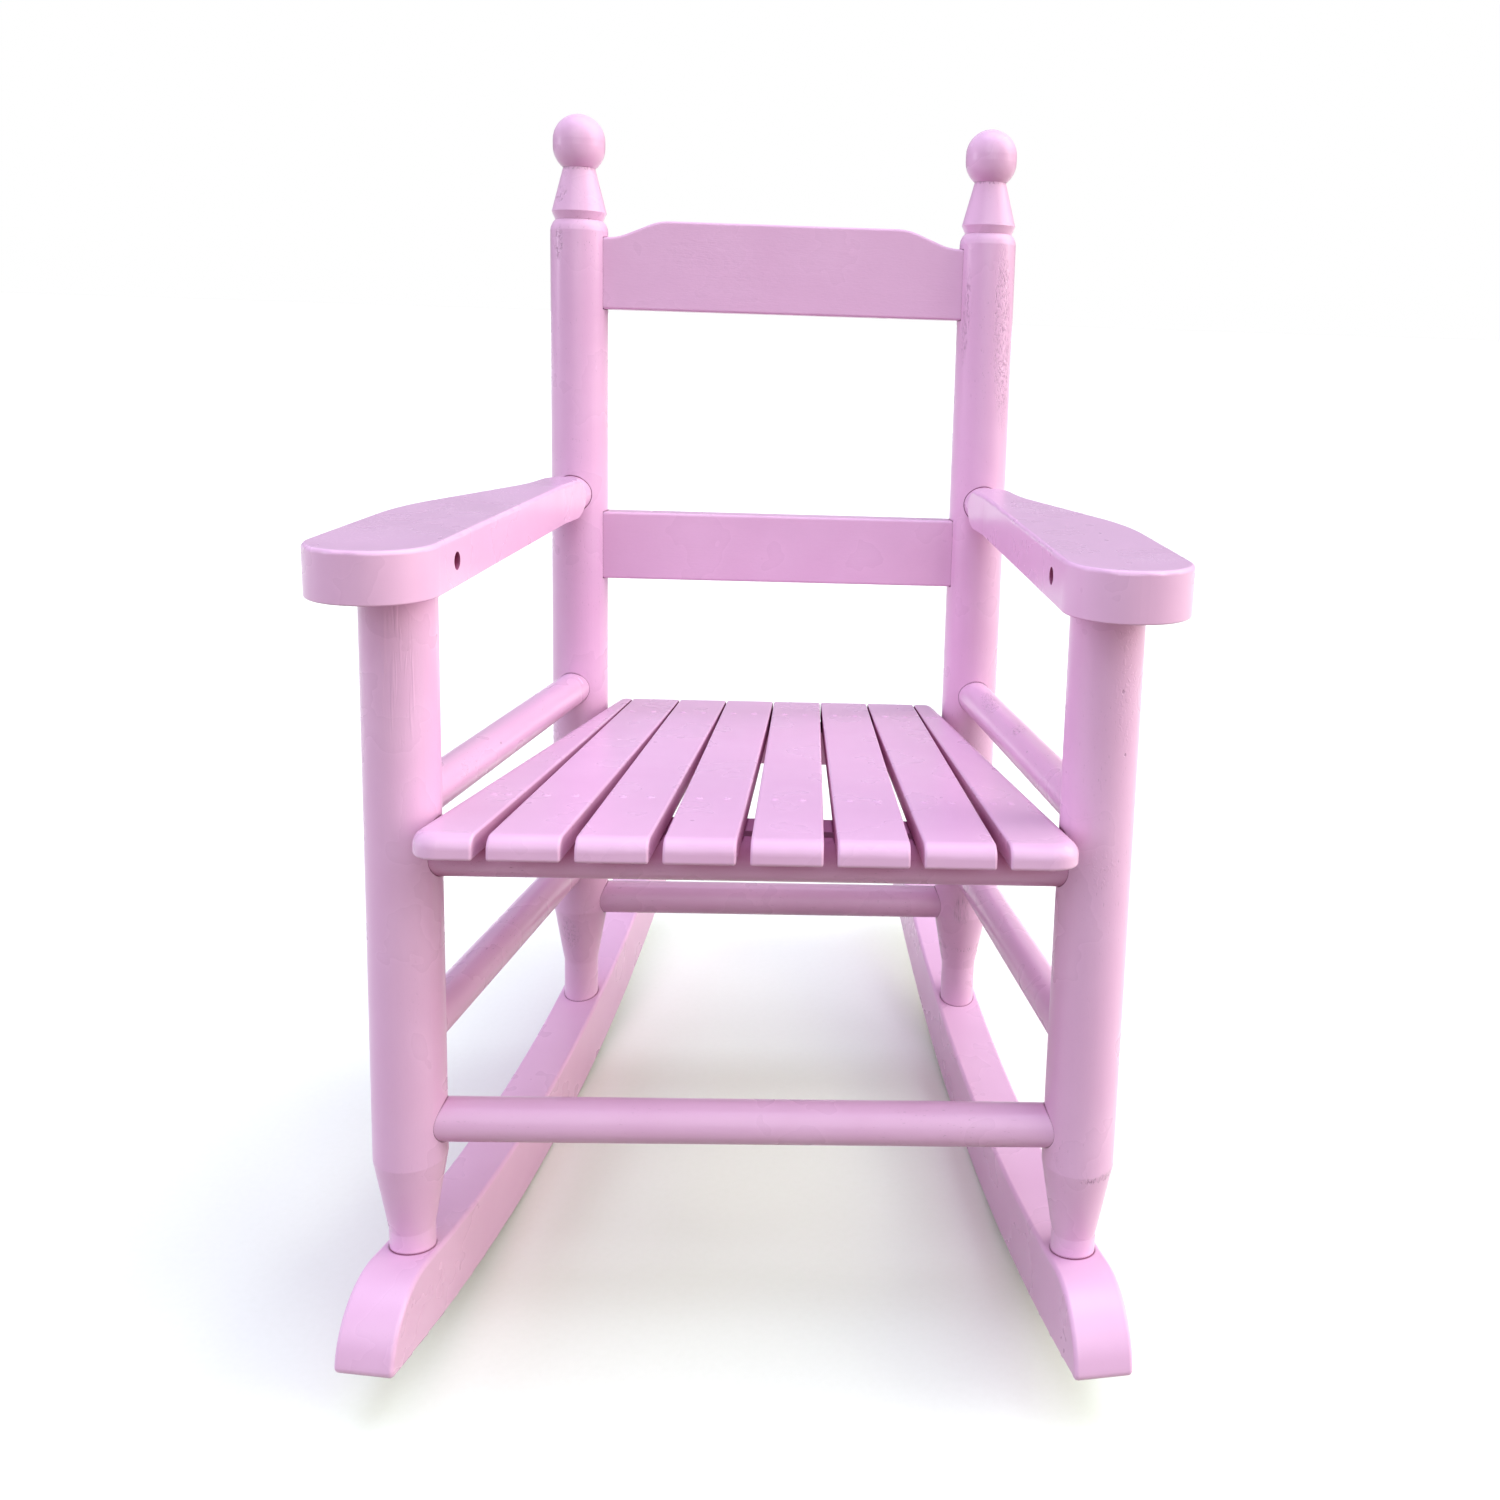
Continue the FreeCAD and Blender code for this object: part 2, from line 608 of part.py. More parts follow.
def seat_slat(slat):
    """A seat board of the fan, with a rounded nose in front and eased long edges. On the two outer
    boards the nose runs on round the corner and along the outer edge."""
    body = new_body("seat_slat_%d" % slat)
    (left_front, right_front), (left_back, right_back) = slat_ends(slat)
    front = "(-seat_front)"
    plan = new_sketch(body, "XY_Plane")
    outline(plan, [(left_front, front), (right_front, front),
                   (right_back, SEAT_END), (left_back, SEAT_END)])
    feature(body, "Pad", plan, "slat_thick")
    start = value(front)
    end = value(SEAT_END)
    outer = {1: left_front, SLATS: right_front}.get(slat)
    if outer:
        round_edges(body, "max(slat_corner; slat_nose + 1)", upright_at([(value(outer), start)]))
    for radius, level in (("slat_nose", value("slat_thick")), ("slat_lip", 0.0)):
        round_edges(body, radius, lambda edge: near(edge, "y", start) and near(edge, "z", level))
    for front_corner, back_corner in ((left_front, left_back), (right_front, right_back)):
        if front_corner != outer:
            side = Part.Line(Vector(value(front_corner), start, 0), Vector(value(back_corner), end, 0))
            round_edges(body, "slat_edge", lambda edge: over(edge, side) and not near(edge, "y", end))
    place_on_seat(body)


SEAT_BATTENS = {"front": FRONT_BATTEN, "rear": REAR_BATTEN}


def batten_half(along):
    return "(%s - batten_inset)" % seat_edge(along)


def seat_screw_places(along):
    across = "(%s - seat_screw_inset)" % batten_half(along)
    return "(-%s)" % across, across


def seat_batten(name, along):
    """A square strip under the slats, beside a seat rung."""
    body = new_body(name + "_seat_batten")
    half = batten_half(along)
    face = new_sketch(body, "XZ_Plane", "-%s" % along)
    bottom = "(-batten_size)"
    outline(face, [("-%s" % half, bottom), (half, bottom), (half, "0"), ("-%s" % half, "0")])
    feature(body, "Pad", face, "batten_size", both=True)
    screws = new_sketch(body, "XZ_Plane", "-(%s - batten_size)" % along)
    for across in seat_screw_places(along):
        circle(screws, across, "-rung_dia / 2", "screw_dia / 2 + joint_clear")
    pocket(body, screws, "2 * batten_size")
    place_on_seat(body)


def screw(seat, axis, length):
    """A screw whose head rests on a seat and whose shank runs along an axis."""
    head = Part.makeCylinder(value("screw_head_dia / 2"), value("screw_head_height"), seat, axis * -1)
    shank = Part.makeCylinder(value("screw_dia / 2"), length, seat, axis)
    return head.fuse(shank)


def fasteners(label, solids):
    group = doc.addObject("Part::Feature", label)
    group.Label = label
    group.Shape = Part.makeCompound(solids)
    steel.append(group)
    return group


def seat_screws():
    made = []
    length = value("batten_size + batten_gap + seat_screw_reach")
    for along, toward in ((FRONT_BATTEN, -1), (REAR_BATTEN, 1)):
        face = value(along) - toward * value("batten_size / 2")
        for across in seat_screw_places(along):
            seat = Vector(value(across), face, -value("rung_dia / 2"))
            made.append(screw(seat, Vector(0, toward, 0), length))
    place_on_seat(fasteners("seat_screws", made))


def arm_screws():
    made = []
    lean = Rotation(Vector(1, 0, 0), value("arm_pitch"))
    for side in SIDES.values():
        turn = leg_turn(side).multiply(lean)
        inside = -side * value("arm_tenon_dia / 2 + arm_hole_wall")
        seat = turn.multVec(Vector(inside, 0, value("arm_thick / 2")))
        seat += Vector(side * value("front_half"), 0, value("arm_z"))
        axis = turn.multVec(Vector(side, 0, 0))
        made.append(screw(seat, axis, value("screw_grip + arm_hole_wall")))
    place(fasteners("arm_screws", made))


def rocker_screws():
    made = []
    length = value("screw_web + joint_clear + screw_grip")
    for side in SIDES.values():
        feet = ((Vector(side * value("front_half"), 0, 0), FOOT_END["front"]),
                (Vector(side * value("back_half"), value("leg_depth"), 0), FOOT_END["back"]))
        for foot, end in feet:
            made.append(screw(foot + UP * value("%s - joint_clear - screw_web" % end), UP, length))
    place(fasteners("rocker_screws", made))


def balance():
    """The lean at which the chair's centre of mass stands over the rockers' lowest point."""
    mass = 0.0
    moment = Vector()
    for part, where in pieces:
        for solid in part.Shape.Solids:
            weight = solid.Volume * (STEEL_TO_WOOD if part in steel else 1.0)
            mass += weight
            moment += where.multVec(solid.CenterOfMass) * weight
    centre = moment / mass
    radius = value("rocker_radius")
    along = math.cos(math.radians(value(TOE)))
    low = 0.0
    high = 45.0
    while high - low > 1e-6:
        lean = math.radians((low + high) / 2)
        reach = radius * math.sin(math.atan(along * math.tan(lean)))
        touch_y = (value("rocker_low") + reach) * along
        touch_z = value(ROCKER_CENTRE) - math.sqrt(radius ** 2 - reach ** 2)
        if centre.y - touch_y > -math.tan(lean) * (centre.z - touch_z):
            low = math.degrees(lean)
        else:
            high = math.degrees(lean)
    return low


for name, side in SIDES.items():
    front_post(name, side)
    back_post(name, side)
    arm(name, side)
    rocker(name, side)
rungs()
back_rails()
for slat in range(1, SLATS + 1):
    seat_slat(slat)
for name, along in SEAT_BATTENS.items():
    seat_batten(name, along)
seat_screws()
arm_screws()
rocker_screws()
doc.recompute()

failed = [thing.Name for thing in doc.Objects if {"Invalid", "Error"} & set(thing.State)]
failed += [part.Label for part, _ in pieces if part.Shape.isNull() or not part.Shape.isValid()]
if failed:
    raise RuntimeError("these pieces failed: " + ", ".join(failed))

# Lean the chair back to its balance, on the floor, with the middle of its box at the origin
lean_angle = balance()
lean = Placement(Vector(), Rotation(Vector(1, 0, 0), -lean_angle))
for part, where in pieces:
    part.Placement = lean.multiply(where)
box = Part.makeCompound([part.Shape for part, _ in pieces]).optimalBoundingBox()
to_floor = Placement(Vector(-box.Center.x, -box.Center.y, -box.ZMin), Rotation())
for part, _ in pieces:
    part.Placement = to_floor.multiply(part.Placement)
doc.recompute()

os.makedirs("parts", exist_ok=True)
for part, _ in pieces:
    part.Shape.exportStep("parts/%s.step" % part.Label)
print("%d pieces, %.1f x %.1f x %.1f mm, leaning %.2f degrees" % (
    len(pieces), box.XLength, box.YLength, box.ZLength, lean_angle))
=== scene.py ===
import math

import bmesh
import bpy
import numpy as np
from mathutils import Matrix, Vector


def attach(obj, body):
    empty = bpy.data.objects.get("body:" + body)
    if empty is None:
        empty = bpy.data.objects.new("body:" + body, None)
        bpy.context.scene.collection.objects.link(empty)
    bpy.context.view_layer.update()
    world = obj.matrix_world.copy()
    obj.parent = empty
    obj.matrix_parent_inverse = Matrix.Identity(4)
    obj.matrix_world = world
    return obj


# A child's rocking chair of turned and sawn wood, painted pink all over.
# Metres, +Z up, the chair's front towards -Y.

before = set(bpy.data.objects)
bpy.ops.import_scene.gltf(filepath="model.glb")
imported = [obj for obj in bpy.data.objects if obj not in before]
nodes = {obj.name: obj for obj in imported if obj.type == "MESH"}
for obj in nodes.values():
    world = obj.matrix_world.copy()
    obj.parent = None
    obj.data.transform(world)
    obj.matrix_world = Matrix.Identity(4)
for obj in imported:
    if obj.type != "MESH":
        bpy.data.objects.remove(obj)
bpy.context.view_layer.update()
scene = bpy.context.scene
scene.view_settings.view_transform = "Standard"

MM = 0.001
BARE_STEEL = ("rocker_screws", "seat_screws")
SLATS = ["seat_slat_%d" % number for number in range(1, 9)]

# How the paint lies on each kind of piece: how much grain, pits and broad waves show in it, how strong
# the specks on its top are, with their painted sheen, how wavy its rounded top edges are, how much
# painted shade darkens its top, how open a hollow may be, from 0 to 1, to show a deep painted shade, and
# how strong that shade is
PLAIN = dict(grain=0.1, pits=0.0, waves=0.2, speckle=0.0, edges=0.0, tops=0.0, hollow=0.0, shade=0.6)
FINISHES = {
    "back_post": dict(grain=0.25, pits=0.45, waves=0.25),
    "front_post": dict(grain=0.25, pits=0.25, waves=0.25),
    "seat_rung": dict(pits=0.5, hollow=1.0),
    "rung": dict(pits=0.5),
    "stretcher": dict(grain=0.2, pits=0.4),
    "rail": dict(grain=0.6),
    "arm": dict(pits=0.1, waves=0.5, speckle=1.0, edges=6.0, tops=1.0, hollow=0.8, shade=0.95),
    "rocker": dict(pits=0.1, waves=0.3),
    "seat_slat": dict(speckle=0.2, edges=1.0, hollow=0.65),
    "batten": dict(grain=0.5, pits=0.3, hollow=0.8),
}

# Noises in the paint: how wide a feature is in millimetres, its length along the wood against its width,
# and its detail. Real fibres, pores and specks are finer, and are drawn this coarse so that they show.
NOISES = {
    "mottle": (38.0, 1.0, 3.0),
    "fibre": (0.8, 4.0, 3.0),
    "band": (3.0, 16.0, 2.0),
    "peel": (1.6, 1.0, 2.0),
    "wave": (11.0, 1.6, 0.0),
    "patch_noise": (48.0, 1.0, 2.0),
    "pore": (0.6, 4.0, 1.0),
    "speck": (0.8, 2.5, 1.0),
    "bead": (7.0, 1.5, 0.0),
}
# Masks: the noise that each is cut from, or how far the surface looks up, where the mask starts and where
# it is full, and the finish that sets its strength
MASKS = {
    "mottling": ("mottle", 0.3, 0.7, None),
    "fibres": ("fibre", 0.45, 0.75, "grain"),
    "top": ("up", 0.90, 0.97, None),
    # Painted shade that darkens the tops of the arms
    "painted_top_shade": ("up", 0.90, 0.97, "tops"),
    "edge": ("up", 0.05, 0.30, None),
    "below_top": ("up", 0.97, 0.80, None),
    # Patches where pores show and where the specks carry a painted sheen
    "pore_and_sheen_patches": ("patch_noise", 0.45, 0.62, None),
    "pores": ("pore", 0.70, 0.75, "pits"),
    # Raised specks in the paint on top, whose paler colour is a painted sheen
    "specks": ("speck", 0.52, 0.72, "speckle"),
}
# Masks that hold only where another layer does too
CUT_BY = (
    ("pores", "pore_and_sheen_patches"),
    ("specks", "top"),
    ("specks", "pore_and_sheen_patches"),
    ("edge", "below_top"),
    ("edge", "bead"),
)
# Tints over the paint's pink, from the ground up, some of them painted light: the mask, its strength and
# the colour
PINK = "#E6B8DA"
PORE_PLUM = "#9C6A90"
# Painted shade, plum, deep in hollows
PAINTED_HOLLOW_SHADE = "#A83C72"
# Painted shade, a dark plum line in the creases where pieces meet
PAINTED_CREASE_SHADE = "#7A2450"
TINTS = (
    ("mottling", 1.0, "#E2B2D5"),
    ("fibres", 0.16, "#D3A0C6"),
    # Painted shade on the arms' tops
    ("painted_top_shade", 1.0, "#CDA3C4"),
    # Paler specks: a painted sheen on raised specks
    ("specks", 0.5, "#F4D4EE"),
    ("pores", 1.0, PORE_PLUM),
)
# Relief of the paint: the layer, how far it rises, in shares of the relief's depth, and the finish that
# sets its strength. The depth is in millimetres.
RELIEF = (
    ("fibre", 0.5, "grain"),
    ("band", 0.3, "grain"),
    ("peel", 0.2, "grain"),
    ("wave", 1.0, "waves"),
    ("edge", 1.0, "edges"),
    ("specks", 0.6, None),
    ("pores", -1.2, None),
)
RELIEF_DEPTH = 0.3
RELIEF_STRENGTH = 0.7
# How far around a point, in millimetres, other wood makes a hollow or a crease, how much less open the
# point is where the painted shade of a hollow is full than where it starts, how open it is where the
# painted plum shade line of a crease starts and where it is full, and how many rays find that out
HOLLOW_REACH = 25
HOLLOW_FADE = 0.5
CREASE_REACH = 1.6
CREASE_OPEN = (0.80, 0.50)
CREASE_STRENGTH = 0.85
OPENNESS_RAYS = 8
# Gloss of the enamel, the depth of painted shade in a hollow at which the gloss is gone, and the
# roughness where the mottling is weakest and where it is full
ENAMEL_GLOSS = 0.5
DULL_SHADE = 0.25
ENAMEL_ROUGHNESS = (0.25, 0.32)
# How far the noises are shifted from one piece to the next, in metres, so that no two pieces look alike
PIECE_SHIFT = (0.37, 0.19, 0.11)

# Marks that single pieces bear: the piece, the kind of mark, its middle and its reach in millimetres
MARKS = (
    ("front_post_left", "runs", (-145, -175, 318), (9, 9, 42)),
    ("front_post_right", "ring", (160, -195, 95.5), (17, 30, 2.6)),
    ("back_post_left", "ring", (-115.7, 93.6, 528.6), (30, 30, 1.2)),
    ("back_post_right", "ring", (115.7, 93.6, 528.6), (30, 30, 1.0)),
    ("back_post_left", "dents", (-124, 83, 514), (5, 5, 6)),
    ("back_post_left", "dents", (-125, 77, 488), (4, 5, 11)),
    ("back_post_right", "pits", (125, 74, 440), (8, 8, 75)),
    ("back_post_right", "pits", (104, 77, 450), (3, 4, 40)),
    ("front_post_right", "nick", (153.4, -174.9, 316.1), (0.8, 0.8, 1.1)),
    ("front_post_right", "nick", (156.1, -176.0, 288.7), (0.7, 0.7, 0.9)),
    ("front_post_right", "pebbles", (148.5, -182, 239), (9, 9, 11)),
    ("front_post_right", "pebbles", (156, -174, 320), (8, 8, 40)),
    ("back_post_right", "scratches", (115, 43, 104), (6, 5, 12)),
    ("back_post_right", "ring", (112.4, 44.6, 76.8), (17, 30, 1.8)),
    ("back_post_left", "pits", (-120, 45, 84), (8, 8, 12)),
    ("upper_side_rung_left", "nick", (-127.9, -76.7, 250.6), (0.7, 1.2, 0.7)),
    ("upper_side_rung_right", "dents", (129.2, -47.9, 252.6), (5, 9, 5)),
    ("upper_side_rung_right", "nick", (129.6, -79.6, 252.7), (0.7, 1.1, 0.7)),
    ("upper_side_rung_right", "pits", (121, 10, 247), (6, 25, 6)),
)
# Each kind of mark: the width of its grain in millimetres, or 0 for none, the length of that grain
# against its width, how far it rises, in shares of the relief's depth, and how much plum it shows
MARK_GRAIN = {
    "runs": (3.0, 14.0, 0.9, 0.0),
    "ring": (0.7, 5.0, -1.4, 0.5),
    "dents": (1.5, 1.6, -2.4, 0.35),
    "pits": (0.6, 4.0, -1.2, 0.4),
    "pebbles": (1.8, 1.3, 0.4, 0.0),
    "scratches": (0.5, 12.0, -1.2, 0.45),
    "nick": (0.0, 1.0, -1.2, 0.4),
}
# Where a mark starts and where it is full, in shares of its reach, and likewise its grain, in its noise
MARK_EDGE = (1.0, 0.5)
MARK_CUT = (0.52, 0.66)

# Turning marks of the screws and fibres of the floor's paper, in millimetres, both drawn coarser than
# real ones so that they show
TURNING_MARKS = 0.8
PAPER_FIBRES = 3.0
# How near to straight up a face on top of a slat looks, and how near to one way the faces of its flat
# look, both as a cosine
SLAT_TOP = 0.98
SLAT_FLAT = 0.9999

# Nails of a slat: how far along and across its top they sit, from its front left corner, and the outline
# of a head from its middle, as radius and rise in millimetres
NAILS_ALONG = (0.21, 0.87)
NAILS_ACROSS = (0.24, 0.70)
NAIL_OUTLINE = ((0.0, 0.05), (0.5, 0.12), (0.8, 0.38), (1.2, 0.36), (1.7, 0.12), (2.0, -0.05))
NAIL_SIDES = 18

# Half a side of the floor, in metres
FLOOR_HALF = 8.0

# Lamps around the chair, broad ones for sky and sun and two narrow ones for glints: where each hangs,
# seen from the chair, as degrees round from the right to the back and degrees up, its strength, how wide
# it spreads in degrees, and its colour
LAMPS = {
    "sky_above": (90, 88, 0.46, 50, "#DCDAFF"),
    "sky_front": (270, 35, 0.41, 60, "#F2FAFF"),
    "low_sun_right": (0, 10, 0.92, 60, "#FFFAE6"),
    "high_sun_right": (0, 45, 0.54, 60, "#F6FFFF"),
    "glint_right": (358, 6, 0.08, 14, "#FFFAF4"),
    "sky_back": (90, 25, 0.05, 60, "#FFFFFF"),
    "open_left": (180, 15, 0.69, 80, "#E6ECFF"),
    "glint_left": (184, 8, 0.08, 14, "#FAF6FF"),
}
# A lamp is mirrored in the paint if it hangs higher or is narrower than this many degrees. A broad one
# near the horizon would whiten flat tops.
HIGH_LAMP = 30
NARROW_LAMP = 30
# The sky as a light, and in a reflection: how bright it is at the horizon, and how high up, as a sine, it
# is white
SKY_COLOUR = "#FFF4F8"
SKY_STRENGTH = 0.10
HORIZON = 0.2
WHITE_SKY = 0.5


def linear(colour):
    """A hex sRGB colour as linear red, green, blue and alpha."""
    channels = [int(colour[i:i + 2], 16) / 255 for i in (1, 3, 5)]
    return [c / 12.92 if c <= 0.04045 else ((c + 0.055) / 1.055) ** 2.4 for c in channels] + [1.0]


def add(tree, kind, inputs=None, **settings):
    """A shader node with its settings. Each input is set to a value, or linked to a socket or to the
    first output of a node."""
    made = tree.nodes.new("ShaderNode" + kind)
    for name, setting in settings.items():
        setattr(made, name, setting)
    for name, source in (inputs or {}).items():
        if isinstance(source, bpy.types.Node):
            source = source.outputs[0]
        if isinstance(source, bpy.types.NodeSocket):
            tree.links.new(source, made.inputs[name])
        else:
            made.inputs[name].default_value = source
    return made


def new_material(name):
    """An empty material and its tree of nodes."""
    made = bpy.data.materials.new(name)
    made.use_nodes = True
    made.node_tree.nodes.clear()
    return made, made.node_tree


def per_mm(size):
    """The scale of a noise whose features are about this many millimetres wide."""
    return 1 / (size * MM)


def metres(sizes):
    """Millimetres as metres."""
    return [size * MM for size in sizes]


def grain_turn(piece):
    """The turn that lays a board's length, its longest spread, along Z."""
    points = np.array([vertex.co for vertex in piece.data.vertices])
    _, axes = np.linalg.eigh(np.cov((points - points.mean(0)).T))
    along = Vector(axes[:, -1])
    return along.to_track_quat("Z", "Y").inverted().to_euler()


def finish_of(name):
    """The finish of a piece, by the first kind that its name holds."""
    return dict(PLAIN, **next(finish for kind, finish in FINISHES.items() if kind in name))


def paint_layers(tree, turned, finish):
    """The noises in the paint and the masks cut from them, by name."""
    layers = {}
    for name, (width, stretch, detail) in NOISES.items():
        drawn = add(tree, "Mapping", {"Vector": turned, "Scale": (1, 1, 1 / stretch)})
        layers[name] = add(tree, "TexNoise", {"Vector": drawn, "Scale": per_mm(width), "Detail": detail})
    facing = add(tree, "NewGeometry").outputs["Normal"]
    layers["up"] = add(tree, "SeparateXYZ", {0: facing}).outputs["Z"]
    for name, (source, start, full, strength) in MASKS.items():
        layers[name] = add(tree, "MapRange", {"Value": layers[source], "From Min": start,
                                              "From Max": full, "To Max": finish.get(strength, 1.0)})
    for name, other in CUT_BY:
        layers[name] = add(tree, "Math", {0: layers[name], 1: layers[other]}, operation="MULTIPLY")
    return layers


def mark_layer(tree, place, turned, kind, middle, reach):
    """Where a mark lies and how strong it is, from 0 to 1."""
    width, stretch, _, _ = MARK_GRAIN[kind]
    away = add(tree, "VectorMath", {0: place, 1: metres(middle)}, operation="SUBTRACT")
    share = add(tree, "VectorMath", {0: away, 1: metres(reach)}, operation="DIVIDE")
    far = add(tree, "VectorMath", {0: share}, operation="LENGTH").outputs["Value"]
    patch = add(tree, "MapRange", {"Value": far, "From Min": MARK_EDGE[0], "From Max": MARK_EDGE[1]},
                interpolation_type="SMOOTHSTEP")
    if not width:
        return patch
    drawn = add(tree, "Mapping", {"Vector": turned, "Scale": (1, 1, 1 / stretch)})
    noise = add(tree, "TexNoise", {"Vector": drawn, "Scale": per_mm(width), "Detail": 2.0,
                                   "Distortion": 0.5})
    grain = add(tree, "MapRange", {"Value": noise, "From Min": MARK_CUT[0], "From Max": MARK_CUT[1]})
    return add(tree, "Math", {0: patch, 1: grain}, operation="MULTIPLY")


def satin_enamel(piece, number):
    """Sprayed and brushed satin enamel on wood. The eye sees an even candy pink with a soft sheen,
    faint ridges of grain along the board, a few pores that the paint didn't fill, pale specks whose
    colour
    is a painted sheen, and painted shade: a thin plum line wherever two pieces meet, plum deep in
    hollows, and a darker pink on the arms' tops."""
    finish = finish_of(piece.name)
    made, tree = new_material("satin_enamel_" + piece.name)
    place = add(tree, "TexCoord").outputs["Object"]
    turned = add(tree, "Mapping", {"Vector": place, "Rotation": grain_turn(piece),
                                   "Location": [shift * number for shift in PIECE_SHIFT]})
    layers = paint_layers(tree, turned, finish)
    tints = [(layers[name], strength, tint) for name, strength, tint in TINTS]
    relief = [(layers[name], rise * finish.get(strength, 1.0)) for name, rise, strength in RELIEF]
    for owner, kind, middle, reach in MARKS:
        if owner == piece.name:
            mark = mark_layer(tree, place, turned, kind, middle, reach)
            _, _, rise, plum = MARK_GRAIN[kind]
            tints.append((mark, plum, PORE_PLUM))
            relief.append((mark, rise))

    # Painted shade: deep in a hollow the paint is tinted plum and its gloss is taken away
    gloss = ENAMEL_GLOSS
    if finish["hollow"]:
        openness = add(tree, "AmbientOcclusion", {"Distance": HOLLOW_REACH * MM}, samples=OPENNESS_RAYS)
        deep = add(tree, "MapRange", {"Value": openness.outputs["AO"], "From Min": finish["hollow"],
                                      "From Max": finish["hollow"] - HOLLOW_FADE,
                                      "To Max": finish["shade"]})
        tints.append((deep, 1.0, PAINTED_HOLLOW_SHADE))
        gloss = add(tree, "MapRange", {"Value": deep, "From Max": DULL_SHADE, "To Min": ENAMEL_GLOSS,
                                       "To Max": 0.0})
    # Painted shade: a thin plum line in every crease, where pieces meet
    openness = add(tree, "AmbientOcclusion", {"Distance": CREASE_REACH * MM}, samples=OPENNESS_RAYS)
    crease = add(tree, "MapRange", {"Value": openness.outputs["AO"], "From Min": CREASE_OPEN[0],
                                    "From Max": CREASE_OPEN[1]})
    tints.append((crease, CREASE_STRENGTH, PAINTED_CREASE_SHADE))

    colour = linear(PINK)
    for mask, strength, tint in tints:
        share = add(tree, "Math", {0: mask, 1: strength}, operation="MULTIPLY")
        colour = add(tree, "Mix", {0: share, 6: colour, 7: linear(tint)}, data_type="RGBA").outputs[2]
    height = 0.0
    for layer, rise in relief:
        height = add(tree, "Math", {0: layer, 1: rise, 2: height}, operation="MULTIPLY_ADD")
    bump = add(tree, "Bump", {"Height": height, "Strength": RELIEF_STRENGTH,
                              "Distance": RELIEF_DEPTH * MM})
    smooth, rough = ENAMEL_ROUGHNESS
    roughness = add(tree, "MapRange", {"Value": layers["mottling"], "To Min": smooth, "To Max": rough})
    shader = add(tree, "BsdfPrincipled", {"Base Color": colour, "Normal": bump, "IOR": 1.5,
                                          "Specular IOR Level": gloss, "Roughness": roughness})
    add(tree, "OutputMaterial", {"Surface": shader})
    return made


def zinc_steel():
    """Zinc plated steel screws: a dull grey metal with fine turning marks."""
    made, tree = new_material("zinc_plated_steel")
    place = add(tree, "TexCoord").outputs["Object"]
    turning = add(tree, "TexNoise", {"Vector": place, "Scale": per_mm(TURNING_MARKS), "Detail": 3.0})
    grey = add(tree, "Mix", {0: turning, 6: linear("#9A9A9E"), 7: linear("#C4C4C8")},
               data_type="RGBA").outputs[2]
    roughness = add(tree, "MapRange", {"Value": turning, "To Min": 0.3, "To Max": 0.5})
    shader = add(tree, "BsdfPrincipled", {"Base Color": grey, "Metallic": 1.0, "Roughness": roughness})
    add(tree, "OutputMaterial", {"Surface": shader})
    return made


def dress(piece, material):
    """One material all over a piece."""
    piece.data.materials.clear()
    piece.data.materials.append(material)


def paint_chair():
    """Paint on every piece of the chair, but for the screws under it."""
    steel = zinc_steel()
    for number, (name, piece) in enumerate(sorted(nodes.items())):
        dress(piece, steel if name in BARE_STEEL else satin_enamel(piece, number))


def slat_top(piece):
    """The four corners of a slat's flat top, front left, front right, back left and back right,
    and the way that it faces."""
    mesh = piece.data
    level = [face for face in mesh.polygons if face.normal.z > SLAT_TOP]
    normal = max(level, key=lambda face: face.area).normal
    flat = [face for face in level if face.normal.dot(normal) > SLAT_FLAT]
    points = [mesh.vertices[index].co for face in flat for index in face.vertices]
    ends = []
    for along in (min(point.y for point in points), max(point.y for point in points)):
        row = sorted((point for point in points if abs(point.y - along) < MM), key=lambda point: point.x)
        ends += [row[0], row[-1]]
    return ends, normal


def nail_head(heads, middle, turn):
    """A low dome with a dimple where the nail was set."""
    rings = []
    for radius, rise in NAIL_OUTLINE[1:]:
        ring = []
        for side in range(NAIL_SIDES):
            angle = 2 * math.pi * side / NAIL_SIDES
            offset = Vector((radius * math.cos(angle), radius * math.sin(angle), rise)) * MM
            ring.append(heads.verts.new(middle + turn @ offset))
        rings.append(ring)
    dimple = heads.verts.new(middle + turn @ Vector((0, 0, NAIL_OUTLINE[0][1])) * MM)
    for side in range(NAIL_SIDES):
        following = (side + 1) % NAIL_SIDES
        heads.faces.new((dimple, rings[0][side], rings[0][following]))
        for inner, outer in zip(rings, rings[1:]):
            heads.faces.new((inner[side], outer[side], outer[following], inner[following]))


def slat_nails():
    """Nail heads under the paint of the slats, two in each slat over each batten."""
    heads = bmesh.new()
    for name in SLATS:
        (front_left, front_right, back_left, back_right), normal = slat_top(nodes[name])
        turn = normal.to_track_quat("Z", "Y").to_matrix()
        for along in NAILS_ALONG:
            left = front_left.lerp(back_left, along)
            right = front_right.lerp(back_right, along)
            for across in NAILS_ACROSS:
                nail_head(heads, left.lerp(right, across), turn)
    for face in heads.faces:
        face.smooth = True
    mesh = bpy.data.meshes.new("slat_nails")
    heads.to_mesh(mesh)
    heads.free()
    made = bpy.data.objects.new("slat_nails", mesh)
    scene.collection.objects.link(made)
    dress(made, nodes[SLATS[0]].data.materials[0])
    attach(made, "root")


def seen_rays(tree):
    """1 for the rays that show a surface, straight or in a reflection, and 0 for those that light it."""
    path = add(tree, "LightPath").outputs
    straight = add(tree, "Math", {0: path["Is Camera Ray"], 1: path["Is Glossy Ray"]},
                   operation="MAXIMUM")
    return add(tree, "Math", {0: straight, 1: path["Is Transmission Ray"]}, operation="MAXIMUM")


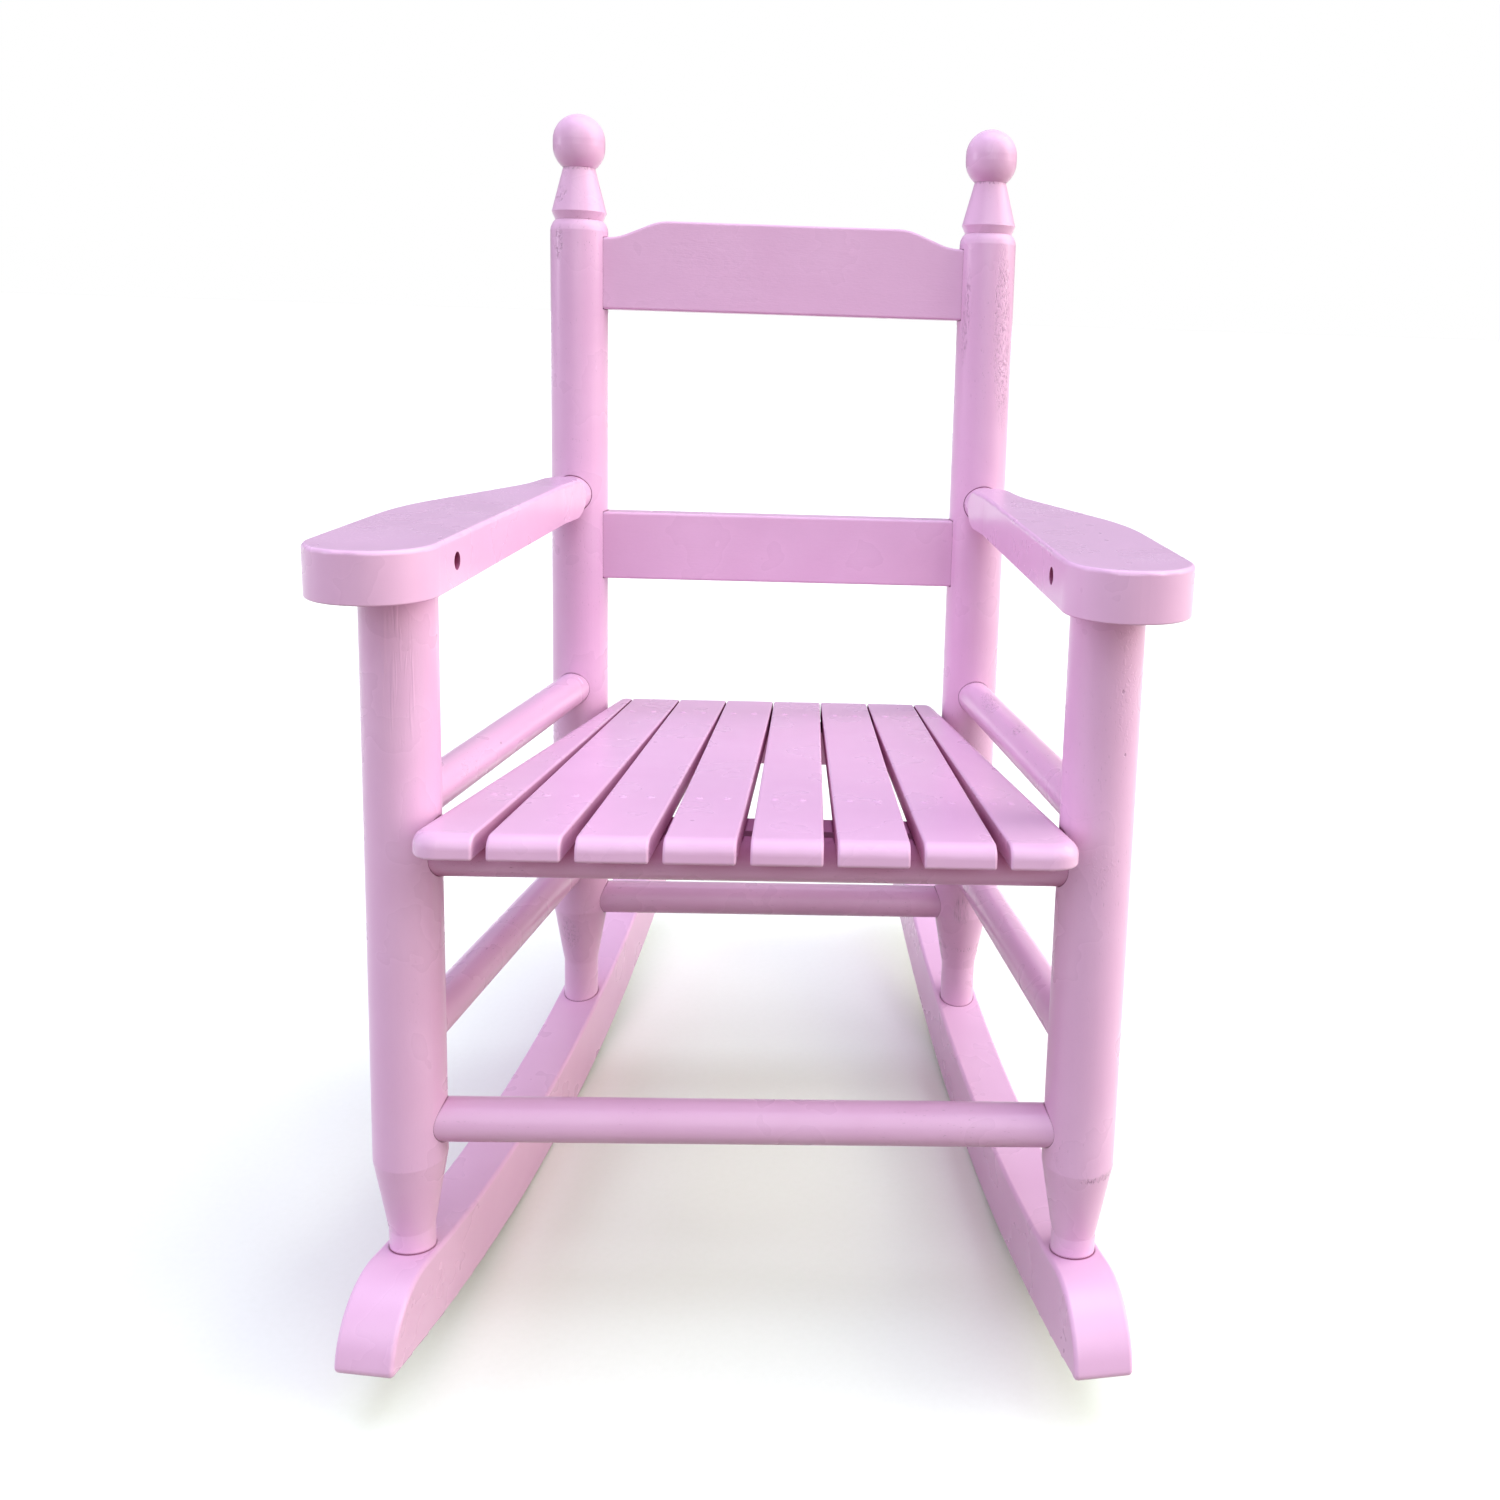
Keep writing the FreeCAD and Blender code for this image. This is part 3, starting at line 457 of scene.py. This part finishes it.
def floor_paper():
    """Matt white paper with faint fibres, a little yellow so that its shadow stays neutral under a blue
    sky. It is white to the eye, and dark to the light that it throws back up, as a yard of earth
    would be."""
    made, tree = new_material("matt_white_paper")
    place = add(tree, "TexCoord").outputs["Object"]
    fibre = add(tree, "TexNoise", {"Vector": place, "Scale": per_mm(PAPER_FIBRES), "Detail": 2.0})
    white = add(tree, "Mix", {0: fibre, 6: linear("#F7FBEF"), 7: linear("#FBFFF4")},
                data_type="RGBA").outputs[2]
    tone = add(tree, "Mix", {0: seen_rays(tree), 6: linear("#74584F"), 7: white},
               data_type="RGBA").outputs[2]
    shader = add(tree, "BsdfDiffuse", {"Color": tone})
    add(tree, "OutputMaterial", {"Surface": shader})
    return made


def floor():
    """The floor that the rockers stand on."""
    half = FLOOR_HALF
    mesh = bpy.data.meshes.new("floor")
    corners = [(-half, -half, 0), (half, -half, 0), (half, half, 0), (-half, half, 0)]
    mesh.from_pydata(corners, [], [(0, 1, 2, 3)])
    made = bpy.data.objects.new("floor", mesh)
    scene.collection.objects.link(made)
    dress(made, floor_paper())


def lamp(name, around, up, strength, spread, colour):
    """A far lamp. At a strength of 1 it shows a white surface that faces it as white."""
    light = bpy.data.lights.new(name, "SUN")
    light.energy = strength * math.pi
    light.angle = math.radians(spread)
    light.color = linear(colour)[:3]
    made = bpy.data.objects.new(name, light)
    made.visible_glossy = up > HIGH_LAMP or spread < NARROW_LAMP
    level = math.cos(math.radians(up))
    source = Vector((level * math.cos(math.radians(around)), level * math.sin(math.radians(around)),
                     math.sin(math.radians(up))))
    made.rotation_euler = (-source).to_track_quat("-Z", "Y").to_euler()
    scene.collection.objects.link(made)


def sky():
    """An overcast sky, which is white to the eye, and in a reflection brightest overhead."""
    world = bpy.data.worlds.new("open_shade")
    scene.world = world
    world.use_nodes = True
    tree = world.node_tree
    tree.nodes.clear()
    shade = add(tree, "Background", {"Color": linear(SKY_COLOUR), "Strength": SKY_STRENGTH})
    way = add(tree, "TexCoord").outputs["Generated"]
    up = add(tree, "SeparateXYZ", {0: way}).outputs["Z"]
    dome = add(tree, "MapRange", {"Value": up, "From Max": WHITE_SKY, "To Min": HORIZON})
    straight = add(tree, "LightPath").outputs["Is Camera Ray"]
    level = add(tree, "Math", {0: dome, 1: straight}, operation="MAXIMUM")
    white = add(tree, "Background", {"Color": (1, 1, 1, 1), "Strength": level})
    both = add(tree, "MixShader", {0: seen_rays(tree), 1: shade, 2: white})
    add(tree, "OutputWorld", {"Surface": both})


def view():
    """The camera, in front of the chair and a little above its arms."""
    camera = bpy.data.cameras.new("camera")
    camera.lens = 33.295
    camera.sensor_width = 36.0
    camera.shift_x = -0.088
    camera.shift_y = -0.1166
    camera.clip_start = 0.01
    made = bpy.data.objects.new("camera", camera)
    made.location = (0.030175, -0.720917, 0.495284)
    made.rotation_euler = [math.radians(angle) for angle in (76.4276, -1.9188, -1.7703)]
    scene.collection.objects.link(made)
    scene.camera = made


paint_chair()
slat_nails()
floor()
sky()
for name, settings in LAMPS.items():
    lamp(name, *settings)
view()
